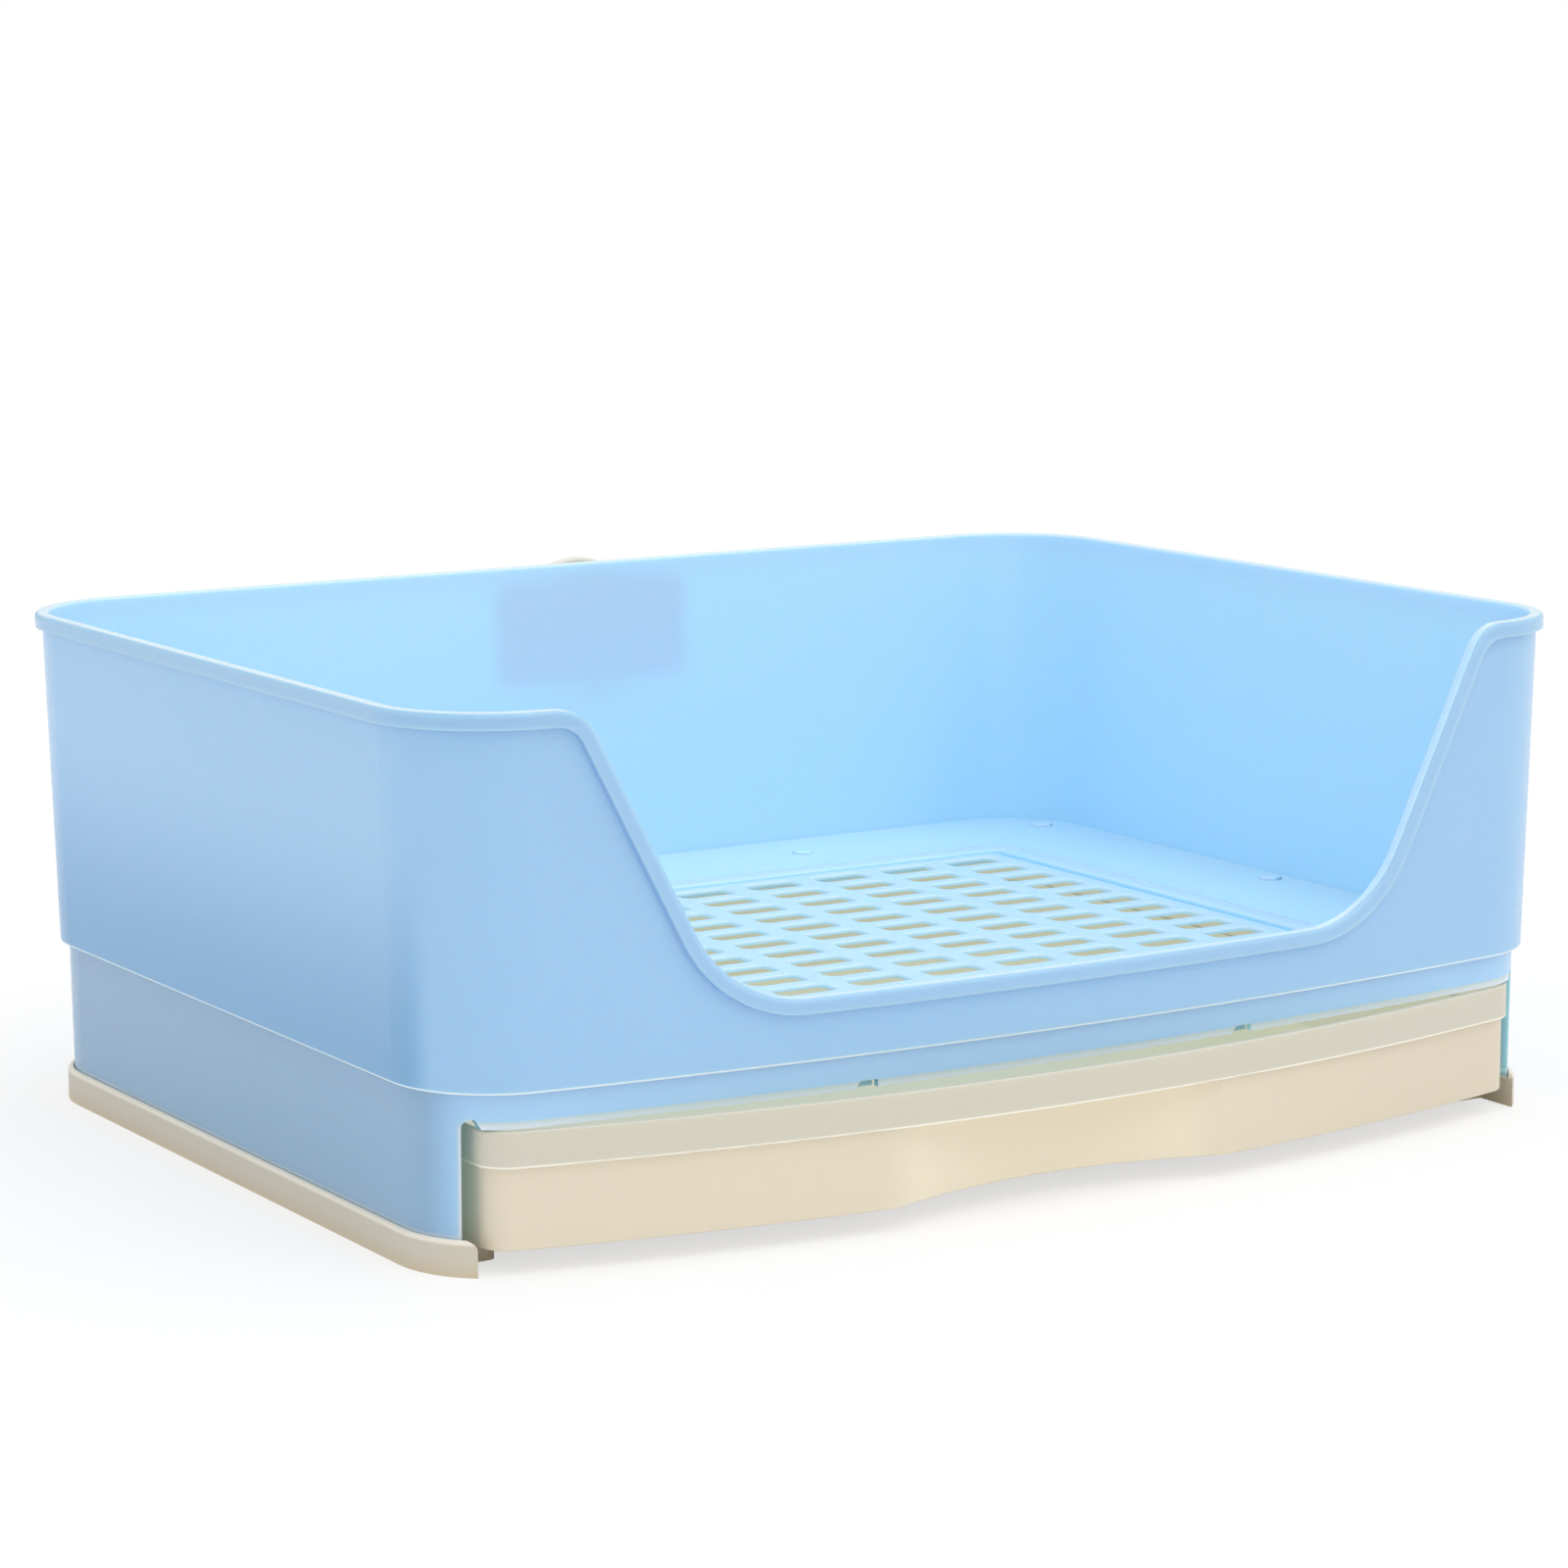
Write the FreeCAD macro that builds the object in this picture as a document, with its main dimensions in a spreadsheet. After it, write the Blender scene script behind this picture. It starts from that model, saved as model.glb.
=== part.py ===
import FreeCAD, Part
import collections
import math
import os
import Sketcher
from FreeCAD import Placement, Rotation, Vector

# Rabbit litter tray, in millimetres and degrees. Z is up, the low entrance looks along -Y, and the whole
# stands on Z = 0. Every shell follows one plan outline, at an offset of its own.

SIZES = {
    # Plan outline at the foot of the surround
    "halfwidth": 205.0,
    "rearreach": 153.4,
    "frontreach": 161.6,
    "bowradius": 1321.3,
    "frontcorner": 33.6,
    "rearcorner": 35.0,
    # Base tray: skirt, channel for the housing and raised deck for the drawer
    "skirtinset": 1.1,
    "skirtwall": 1.8,
    "skirtheight": 10.6,
    "skirtround": 1.5,
    "skirtend": 191.7,
    "skirtendround": 3.0,
    "skirtendlift": 0.3,
    "channelfloor": 1.8,
    "channelwidth": 11.7,
    "decktop": 6.9,
    "deckwall": 1.8,
    "deckfront": 126.2,
    "deckrecess": 112.0,
    "recesshalf": 177.0,
    "recessround": 3.0,
    "guidewall": 1.8,
    # Housing with its drawer opening
    "housinginset": 2.8,
    "housingwall": 2.2,
    "housingtop": 53.4,
    "housingdraft": 0.66,
    "guidegap": 0.5,
    "lintel": 42.9,
    "reliefwidth": 4.5,
    "relieftop": 45.8,
    "reliefslant": 1.5,
    "reliefround": 2.5,
    "notchplace": 69.0,
    "notchwidth": 6.0,
    "notchtop": 45.2,
    "notchslant": 1.6,
    # Surround: drafted wall, rolled rim and the dip at the entrance
    "walldraft": 1.53,
    "wall": 2.3,
    "footround": 1.0,
    "rimtop": 163.3,
    "rimband": 4.9,
    "rimproud": 2.2,
    "rimround": 1.6,
    "riminner": 1.0,
    "dipfloor": 73.3,
    "dipflat": 92.2,
    "dipslope": 63.0,
    "diplow": 40.0,
    "diphigh": 14.0,
    "border": 1.7,
    "spigotdepth": 8.1,
    "spigotwall": 1.6,
    "spigotgap": 0.3,
    "tonguewidth": 5.0,
    "tonguereach": 10.4,
    "nubround": 4.0,
    "nubrise": 1.2,
    "nubedge": 1.0,
    "nubsidex": 195.0,
    "nubsidey": 8.0,
    "nubcornerx": 190.0,
    "nubreary": 125.0,
    "nubrearx": 84.0,
    # Seat for the floor grid in the surround
    "seathalfx": 155.8,
    "seathalfy": 100.8,
    "seatcorner": 8.0,
    "seatledge": 5.0,
    "seatwall": 1.8,
    "seatdepth": 2.9,
    # Floor grid
    "gridgap": 0.3,
    "gridring": 8.3,
    "gridgroove": 5.0,
    "gridgroovefloor": 1.2,
    "gridringrise": 0.2,
    "slotcount": 10,
    "slotpitchx": 28.0,
    "slotpitchy": 17.1,
    "slotlong": 20.4,
    "slotwide": 11.0,
    "slotcorner": 3.0,
    "barround": 1.1,
    "barlift": 0.06,
    "barthick": 1.5,
    "brimspare": 0.3,
    "ringround": 1.1,
    # Drawer
    "drawerhalf": 189.6,
    "drawerrear": 144.0,
    "drawerfront": 168.6,
    "drawerbow": 770.0,
    "drawerfrontcorner": 11.0,
    "drawerrearcorner": 26.0,
    "drawerwall": 2.0,
    "drawergap": 0.3,
    "drawertop": 42.5,
    "lipproud": 1.5,
    "liplow": 31.5,
    "lipround": 0.6,
    "footedge": 0.6,
    "scoopplace": 5.0,
    "scoopradius": 166.0,
    "scoopdepth": 13.4,
    "scoopround": 6.0,
    # Cage fixing on the rear wall
    "fixingplace": 13.5,
    "fixingdrop": 25.3,
    "padlong": 77.0,
    "padhigh": 36.0,
    "padface": 157.0,
    "padsink": 2.7,
    "platethick": 2.5,
    "platecorner": 3.0,
    "studround": 4.0,
    "studlength": 24.5,
    "cagegap": 4.5,
    "discround": 26.0,
    "discthick": 4.0,
    "discedge": 1.4,
    "runningfit": 0.05,
    "nutlength": 13.0,
    "nutround": 7.5,
    "wingspan": 22.0,
    "wingthick": 3.6,
    "wingrootstart": 2.0,
    "wingrootend": 11.0,
    "wingtipstart": 4.6,
    "wingtipend": 14.3,
}

doc = FreeCAD.newDocument("litter_tray")
sheet = doc.addObject("Spreadsheet::Sheet", "Sizes")
for row, (alias, number) in enumerate(SIZES.items(), start=1):
    sheet.set(f"A{row}", alias)
    sheet.set(f"B{row}", str(number))
    sheet.setAlias(f"B{row}", alias)
doc.recompute()


class Size:
    """A number together with the sheet expression that gives it."""

    def __init__(self, value, text):
        self.value = value
        self.text = text

    @staticmethod
    def of(other):
        return other if isinstance(other, Size) else Size(float(other), str(other))

    def __add__(self, other):
        other = Size.of(other)
        return Size(self.value + other.value, f"({self.text} + {other.text})")

    def __sub__(self, other):
        other = Size.of(other)
        return Size(self.value - other.value, f"({self.text} - {other.text})")

    def __rsub__(self, other):
        return Size.of(other) - self

    def __mul__(self, other):
        other = Size.of(other)
        return Size(self.value * other.value, f"({self.text} * {other.text})")

    def __truediv__(self, other):
        other = Size.of(other)
        return Size(self.value / other.value, f"({self.text} / {other.text})")

    def __neg__(self):
        return Size(-self.value, f"(-{self.text})")

    def tangent(self):
        return Size(math.tan(math.radians(self.value)), f"tan({self.text} * 1 deg)")

    def root(self):
        return Size(math.sqrt(self.value), f"sqrt({self.text})")


class Sheet:
    """Gives each alias of the sheet as a Size."""

    def __getattr__(self, alias):
        return Size(float(SIZES[alias]), f"Sizes.{alias}")


S = Sheet()
NOTHING = S.wall * 0
FAR = S.halfwidth + S.halfwidth
SPARE = S.rimband
FIXING = (S.fixingplace, S.rimtop - S.fixingdrop)


class Drawing:
    """A sketch on one of a body's origin planes, drawn at true size and then bound to the sheet."""

    def __init__(self, body, label, plane, level=NOTHING):
        self.sketch = body.newObject("Sketcher::SketchObject", label)
        support = next(item for item in body.Origin.OriginFeatures if item.Role == plane)
        self.sketch.AttachmentSupport = [(support, "")]
        self.sketch.MapMode = "FlatFace"
        self.sketch.AttachmentOffset = Placement(Vector(0, 0, level.value), Rotation())
        self.sketch.setExpression("AttachmentOffset.Base.z", level.text)

    def line(self, start, end):
        segment = Part.LineSegment(Vector(start[0], start[1], 0), Vector(end[0], end[1], 0))
        return self.sketch.addGeometry(segment)

    def circle(self, centre, radius):
        circle = Part.Circle(Vector(centre[0], centre[1], 0), Vector(0, 0, 1), radius)
        return self.sketch.addGeometry(circle)

    def arc(self, centre, radius, start, end):
        circle = Part.Circle(Vector(centre[0], centre[1], 0), Vector(0, 0, 1), radius)
        return self.sketch.addGeometry(Part.ArcOfCircle(circle, math.radians(start), math.radians(end)))

    def tie(self, kind, *references):
        self.sketch.addConstraint(Sketcher.Constraint(kind, *references))

    def bind(self, kind, references, size):
        value = math.radians(size.value) if kind == "Angle" else size.value
        index = self.sketch.addConstraint(Sketcher.Constraint(kind, *references, value))
        self.sketch.setExpression(f"Constraints[{index}]", size.text)

    def place_x(self, geometry, point, size):
        """Binds a point's X to a size of either sign."""
        if size.value < 0:
            self.bind("DistanceX", (geometry, point, -1, 1), -size)
        else:
            self.bind("DistanceX", (-1, 1, geometry, point), size)

    def place_y(self, geometry, point, size):
        """Binds a point's Y to a size of either sign."""
        if size.value < 0:
            self.bind("DistanceY", (geometry, point, -1, 1), -size)
        else:
            self.bind("DistanceY", (-1, 1, geometry, point), size)

    def polygon(self, corners):
        """A closed run of straight lines whose corners are bound to the sheet."""
        places = [(x.value, y.value) for x, y in corners]
        lines = [self.line(places[i], places[(i + 1) % len(places)]) for i in range(len(places))]
        for i, line in enumerate(lines):
            self.tie("Coincident", line, 2, lines[(i + 1) % len(lines)], 1)
            self.place_x(line, 1, corners[i][0])
            self.place_y(line, 1, corners[i][1])

    def rounded_rectangle(self, centre, half_x, half_y, radius):
        """Four lines and four arcs round a centre."""
        x, y = centre[0].value, centre[1].value
        a, b, r = half_x.value, half_y.value, radius.value
        top = self.line((x + a - r, y + b), (x - a + r, y + b))
        left = self.line((x - a, y + b - r), (x - a, y - b + r))
        bottom = self.line((x - a + r, y - b), (x + a - r, y - b))
        right = self.line((x + a, y - b + r), (x + a, y + b - r))
        top_left = self.arc((x - a + r, y + b - r), r, 90, 180)
        bottom_left = self.arc((x - a + r, y - b + r), r, 180, 270)
        bottom_right = self.arc((x + a - r, y - b + r), r, 270, 360)
        top_right = self.arc((x + a - r, y + b - r), r, 0, 90)
        ring = [top, top_left, left, bottom_left, bottom, bottom_right, right, top_right]
        for i, edge in enumerate(ring):
            self.tie("Tangent", edge, 2, ring[(i + 1) % 8], 1)
        for edge in (top, bottom):
            self.tie("Horizontal", edge)
        for edge in (left, right):
            self.tie("Vertical", edge)
        for corner in ring[1::2]:
            self.bind("Radius", (corner,), radius)
        self.place_x(left, 1, centre[0] - half_x)
        self.place_x(right, 1, centre[0] + half_x)
        self.place_y(bottom, 1, centre[1] - half_y)
        self.place_y(top, 1, centre[1] + half_y)

    def bowed_outline(self, plan):
        """Straight sides and rear, rounded corners and one long arc across the front."""
        a, rear, front = plan.half.value, plan.rear.value, plan.front.value
        bow, near, back = plan.bow.value, plan.near.value, plan.back.value
        centre_y = bow - front
        near_y = plan.corner_y().value
        turn = math.degrees(math.atan2(near_y - centre_y, near - a)) % 360
        left = self.line((-a, rear - back), (-a, near_y))
        front_left = self.arc((near - a, near_y), near, 180, turn)
        sweep = self.arc((0, centre_y), bow, turn, 540 - turn)
        front_right = self.arc((a - near, near_y), near, 540 - turn, 360)
        right = self.line((a, near_y), (a, rear - back))
        rear_right = self.arc((a - back, rear - back), back, 0, 90)
        behind = self.line((a - back, rear), (back - a, rear))
        rear_left = self.arc((back - a, rear - back), back, 90, 180)
        ring = [left, front_left, sweep, front_right, right, rear_right, behind, rear_left]
        for i, edge in enumerate(ring):
            self.tie("Tangent", edge, 2, ring[(i + 1) % 8], 1)
        self.tie("Vertical", left)
        self.tie("Vertical", right)
        self.tie("Horizontal", behind)
        self.tie("PointOnObject", sweep, 3, -2)
        self.place_x(left, 1, -plan.half)
        self.place_x(right, 1, plan.half)
        self.place_y(behind, 1, plan.rear)
        self.place_y(sweep, 3, plan.bow - plan.front)
        self.bind("Radius", (sweep,), plan.bow)
        for corner in (front_left, front_right):
            self.bind("Radius", (corner,), plan.near)
        for corner in (rear_left, rear_right):
            self.bind("Radius", (corner,), plan.back)

    def rim_line(self, inset, close_at):
        """The rim seen from the front: level, down into the dip and up again, closed at another height."""
        drop = inset.value
        slope = S.dipslope.value
        sine = math.sin(math.radians(slope))
        cosine = math.cos(math.radians(slope))
        top = S.rimtop.value - drop
        floor = S.dipfloor.value - drop
        low = S.diplow.value + drop
        high = S.diphigh.value - drop
        flat = S.dipflat.value
        low_end = (flat + low * sine, floor + low * (1 - cosine))
        high_z = top - high * (1 - cosine)
        high_x = low_end[0] + (high_z - low_end[1]) * cosine / sine
        shoulder = high_x + high * sine
        far = FAR.value
        end = close_at.value
        ring = [
            self.line((-far, top), (-shoulder, top)),
            self.arc((-shoulder, top - high), high, 90 - slope, 90),
            self.line((-high_x, high_z), (-low_end[0], low_end[1])),
            self.arc((-flat, floor + low), low, 270 - slope, 270),
            self.line((-flat, floor), (flat, floor)),
            self.arc((flat, floor + low), low, 270, 270 + slope),
            self.line(low_end, (high_x, high_z)),
            self.arc((shoulder, top - high), high, 90, 90 + slope),
            self.line((shoulder, top), (far, top)),
            self.line((far, top), (far, end)),
            self.line((far, end), (-far, end)),
            self.line((-far, end), (-far, top)),
        ]
        # The shoulder arcs run the other way, so their ends swap
        joins = [(0, 2, 1, 2), (1, 1, 2, 1), (2, 2, 3, 1), (3, 2, 4, 1), (4, 2, 5, 1)]
        joins += [(5, 2, 6, 1), (6, 2, 7, 2), (7, 1, 8, 1)]
        for one, one_end, other, other_end in joins:
            self.tie("Tangent", ring[one], one_end, ring[other], other_end)
        for one, other in ((8, 9), (9, 10), (10, 11), (11, 0)):
            self.tie("Coincident", ring[one], 2, ring[other], 1)
        for level in (0, 4, 8, 10):
            self.tie("Horizontal", ring[level])
        for upright in (9, 11):
            self.tie("Vertical", ring[upright])
        self.bind("Angle", (-1, 1, ring[6], 1), S.dipslope)
        self.bind("Angle", (ring[2], 1, -1, 1), S.dipslope)
        for arc in (3, 5):
            self.bind("Radius", (ring[arc],), S.diplow + inset)
        for arc in (1, 7):
            self.bind("Radius", (ring[arc],), S.diphigh - inset)
        self.place_x(ring[4], 1, -S.dipflat)
        self.place_x(ring[4], 2, S.dipflat)
        self.place_y(ring[4], 1, S.dipfloor - inset)
        self.place_y(ring[0], 1, S.rimtop - inset)
        self.place_y(ring[8], 2, S.rimtop - inset)
        self.place_x(ring[0], 1, -FAR)
        self.place_x(ring[8], 2, FAR)
        self.place_y(ring[10], 1, close_at)

    def gate_with_rounds(self, half, top, radius):
        """An upright slot whose walls turn outward at the top, over the ends beside it."""
        a, r = half.value, radius.value
        shoulder = top.value - r
        low = -S.skirtheight
        ring = [
            self.line((-a, low.value), (a, low.value)),
            self.line((a, low.value), (a, shoulder)),
            self.arc((a + r, shoulder), r, 90, 180),
            self.line((a + r, top.value), (a + r, top.value + r)),
            self.line((a + r, top.value + r), (-a - r, top.value + r)),
            self.line((-a - r, top.value + r), (-a - r, top.value)),
            self.arc((-a - r, shoulder), r, 0, 90),
            self.line((-a, shoulder), (-a, low.value)),
        ]
        joins = [(0, 2, 1, 1), (2, 1, 3, 1), (3, 2, 4, 1), (4, 2, 5, 1), (5, 2, 6, 2), (7, 2, 0, 1)]
        for one, one_end, other, other_end in joins:
            self.tie("Coincident", ring[one], one_end, ring[other], other_end)
        self.tie("Tangent", ring[1], 2, ring[2], 2)
        self.tie("Tangent", ring[6], 1, ring[7], 1)
        for upright in (1, 3, 5, 7):
            self.tie("Vertical", ring[upright])
        self.tie("Horizontal", ring[0])
        self.tie("Horizontal", ring[4])
        for arc in (2, 6):
            self.bind("Radius", (ring[arc],), radius)
        self.place_x(ring[0], 1, -half)
        self.place_x(ring[0], 2, half)
        self.place_y(ring[0], 1, low)
        self.place_x(ring[3], 1, half + radius)
        self.place_x(ring[5], 1, -(half + radius))
        self.place_y(ring[2], 3, top - radius)
        self.place_y(ring[6], 3, top - radius)
        self.place_y(ring[4], 1, top + radius)


class Plan:
    """The six sizes of a bowed outline."""

    def __init__(self, half, rear, front, bow, near, back):
        self.half = half
        self.rear = rear
        self.front = front
        self.bow = bow
        self.near = near
        self.back = back

    def corner_y(self):
        """The Y of the centres that the front corners turn about."""
        span = self.bow - self.near
        aside = self.half - self.near
        return self.bow - self.front - (span * span - aside * aside).root()

    def front_y(self, x):
        """The Y of the outline's front corner at an X beyond the corner's centre."""
        aside = x - (self.half - self.near)
        return self.corner_y() - (self.near * self.near - aside * aside).root()


def shell_plan(offset):
    """The common outline of surround, housing and base tray, moved outward by an offset."""
    return Plan(S.halfwidth + offset, S.rearreach + offset, S.frontreach + offset,
                S.bowradius + offset, S.frontcorner + offset, S.rearcorner + offset)


def drawer_plan(inset):
    """The outline of the drawer's lip, moved inward."""
    return Plan(S.drawerhalf - inset, S.drawerrear - inset, S.drawerfront - inset,
                S.drawerbow - inset, S.drawerfrontcorner - inset, S.drawerrearcorner - inset)


def new_body(label):
    body = doc.addObject("PartDesign::Body", label)
    body.Label = label
    return body


def extrude(body, kind, label, drawing, length, draft=None, flip=False):
    """A pad or pocket from a drawing; flip turns it round to the other side of the drawing."""
    feature = body.newObject(f"PartDesign::{kind}", label)
    feature.Profile = drawing.sketch
    feature.Length = length.value
    feature.setExpression("Length", length.text)
    feature.Reversed = flip
    if draft is not None:
        feature.TaperAngle = draft.value
        feature.setExpression("TaperAngle", draft.text)
    drawing.sketch.Visibility = False
    doc.recompute()
    return feature


def pad(body, label, drawing, length, draft=None, flip=False):
    return extrude(body, "Pad", label, drawing, length, draft, flip)


def pocket(body, label, drawing, length, draft=None, flip=False):
    return extrude(body, "Pocket", label, drawing, length, draft, flip)


def shell_drawing(body, label, offset, level):
    drawing = Drawing(body, label, "XY_Plane", level)
    drawing.bowed_outline(shell_plan(offset))
    return drawing


def drawer_drawing(body, label, inset, level):
    drawing = Drawing(body, label, "XY_Plane", level)
    drawing.bowed_outline(drawer_plan(inset))
    return drawing


def fillet(body, label, radius, chosen):
    """Rounds the edges of the body's tip that a test picks out."""
    base = body.Tip
    names = [f"Edge{i}" for i, edge in enumerate(base.Shape.Edges, start=1) if chosen(edge)]
    if not names:
        raise RuntimeError(f"{label} found no edge to round")
    feature = body.newObject("PartDesign::Fillet", label)
    feature.Base = (base, names)
    feature.Radius = radius.value
    feature.setExpression("Radius", radius.text)
    doc.recompute()
    return feature


def near(one, other):
    """True for two lengths or shares that are equal but for rounding."""
    return abs(one - other) < 0.01


def level_edge(edge, height):
    """True for an edge that lies at one height."""
    box = edge.BoundBox
    return near(box.ZMin, height) and near(box.ZMax, height)


def upright_edge(edge):
    """True for a straight edge along Z."""
    box = edge.BoundBox
    return near(box.XLength, 0) and near(box.YLength, 0)


# Base tray: a cream foot whose skirt wraps the sides and rear, with a channel that the housing stands in
# and a raised deck that the drawer slides on. The skirt stops beside the drawer.

def make_base_tray():
    body = new_body("base_tray")
    outer = -S.skirtinset
    pad(body, "skirt_block", shell_drawing(body, "skirt_outline", outer, NOTHING), S.skirtheight)
    fillet(body, "skirt_edge", S.skirtround, lambda edge: level_edge(edge, S.skirtheight.value))
    inner = outer - S.skirtwall
    pocket(body, "channel", shell_drawing(body, "channel_outline", inner, S.channelfloor),
           S.skirtheight, flip=True)
    deck = inner - S.channelwidth
    pad(body, "deck_block", shell_drawing(body, "deck_outline", deck, NOTHING), S.decktop)
    hollow = shell_plan(deck - S.deckwall)
    hollow.front = S.deckrecess - S.deckwall
    under = Drawing(body, "hollow_outline", "XY_Plane")
    under.bowed_outline(hollow)
    pocket(body, "deck_hollow", under, S.decktop - S.deckwall, flip=True)

    # Guide walls run back from the skirt's ends, beside the drawer, and the deck ends short of the front
    middle = shell_plan(outer - S.skirtwall / 2)
    far_x = S.skirtend + S.guidewall
    for side, name in ((-1, "left"), (1, "right")):
        guide = Drawing(body, f"{name}_guide_outline", "XY_Plane")
        guide.polygon([(S.skirtend * side, -S.deckfront), (far_x * side, -S.deckfront),
                       (far_x * side, middle.front_y(far_x)),
                       (S.skirtend * side, middle.front_y(S.skirtend))])
        pad(body, f"{name}_guide", guide, S.skirtheight - S.skirtround)
    gate = Drawing(body, "front_gate", "XZ_Plane", S.deckfront)
    gate.gate_with_rounds(S.skirtend, S.skirtheight + S.skirtendlift, S.skirtendround)
    pocket(body, "front_gap", gate, FAR, flip=True)
    recess = Drawing(body, "recess_outline", "XY_Plane")
    recess.polygon([(-S.recesshalf, -S.deckfront - SPARE), (S.recesshalf, -S.deckfront - SPARE),
                    (S.recesshalf, -S.deckrecess), (-S.recesshalf, -S.deckrecess)])
    pocket(body, "deck_recess", recess, S.decktop, flip=True)

    def recess_corner(edge):
        at_front = near(edge.BoundBox.YMin, -S.deckfront.value)
        return upright_edge(edge) and at_front and near(abs(edge.BoundBox.XMin), S.recesshalf.value)

    fillet(body, "recess_corner_round", S.recessround, recess_corner)
    return body


# Housing: the blue lower casing. It stands in the base tray's channel and carries the surround on its top
# edge. The whole front is open below a lintel, with relieved corners and two notches for the tongues.

def make_housing():
    body = new_body("housing")
    rise = S.housingtop - S.channelfloor
    foot = -(S.housinginset + rise * S.housingdraft.tangent())
    inside = foot - S.housingwall
    pad(body, "casing_block", shell_drawing(body, "casing_outline", foot, S.channelfloor), rise,
        S.housingdraft)
    pocket(body, "casing_hollow", shell_drawing(body, "hollow_outline", inside, S.channelfloor), rise,
           S.housingdraft, flip=True)
    opening = Drawing(body, "opening_outline", "XZ_Plane", NOTHING)
    slant = S.notchplace - S.notchwidth / 2
    right = S.notchplace + S.notchwidth / 2
    jamb = S.skirtend + S.guidewall + S.guidegap
    relief = jamb - S.reliefwidth
    corners = [(-jamb, NOTHING), (jamb, NOTHING), (jamb, S.relieftop),
               (relief + S.reliefslant, S.relieftop), (relief, S.lintel)]
    corners += [(right, S.lintel), (right, S.notchtop), (slant, S.notchtop),
                (slant - S.notchslant, S.lintel)]
    corners += [(-slant, S.lintel), (-slant, S.notchtop), (-right, S.notchtop),
                (-right - S.notchslant, S.lintel)]
    corners += [(-relief, S.lintel), (-relief - S.reliefslant, S.relieftop), (-jamb, S.relieftop)]
    opening.polygon(corners)
    pocket(body, "drawer_opening", opening, FAR, flip=True)

    def relief_corner(edge):
        box = edge.BoundBox
        across = near(box.XLength, 0) and near(box.ZLength, 0)
        return across and near(abs(box.XMin), jamb.value) and near(box.ZMin, S.relieftop.value)

    fillet(body, "relief_round", S.reliefround, relief_corner)
    return body


# Surround: the light blue upper tub. Its drafted wall is thin, the rim is a proud band that follows the
# dip of the entrance, and a border runs inward to the seat of the floor grid. Below the border a spigot
# skirt and two tongues locate it in the housing, and a flat pad on the rear wall takes the cage fixing.

def level_box(drawing, low, high):
    """A slab right across the tray between two heights, drawn on an upright plane."""
    drawing.polygon([(-FAR, low), (FAR, low), (FAR, high), (-FAR, high)])


def outside_of(plan, point, foot):
    """How far a point lies outside a drafted outline, in plan."""
    grow = (point.z - foot) * S.walldraft.tangent().value
    half = plan.half.value + grow
    rear = plan.rear.value + grow
    bow = plan.bow.value + grow
    near = plan.near.value + grow
    back = plan.back.value + grow
    centre_y = plan.bow.value - plan.front.value
    near_x = half - near
    near_y = centre_y - math.sqrt((bow - near) ** 2 - near_x ** 2)
    x, y = abs(point.x), point.y
    if x > half - back and y > rear - back:
        return math.hypot(x - half + back, y - rear + back) - back
    if x > near_x and y < near_y:
        return math.hypot(x - near_x, y - near_y) - near
    if y < near_y:
        return math.hypot(x, y - centre_y) - bow
    return max(x - half, y - rear)


def rim_face(face):
    """True for the faces that the rim line cuts: they look up or into the dip, never along Y."""
    least_rise = 0.1
    u_low, u_high, v_low, v_high = face.ParameterRange
    normal = face.normalAt((u_low + u_high) / 2, (v_low + v_high) / 2)
    if normal.z < least_rise or face.BoundBox.ZMin < (S.dipfloor - S.rimround).value:
        return False
    surface = face.Surface
    if surface.TypeId == "Part::GeomPlane":
        return near(surface.Axis.y, 0) and not near(abs(surface.Axis.x), 1)
    if surface.TypeId == "Part::GeomCylinder":
        return near(abs(surface.Axis.y), 1)
    return False


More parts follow.
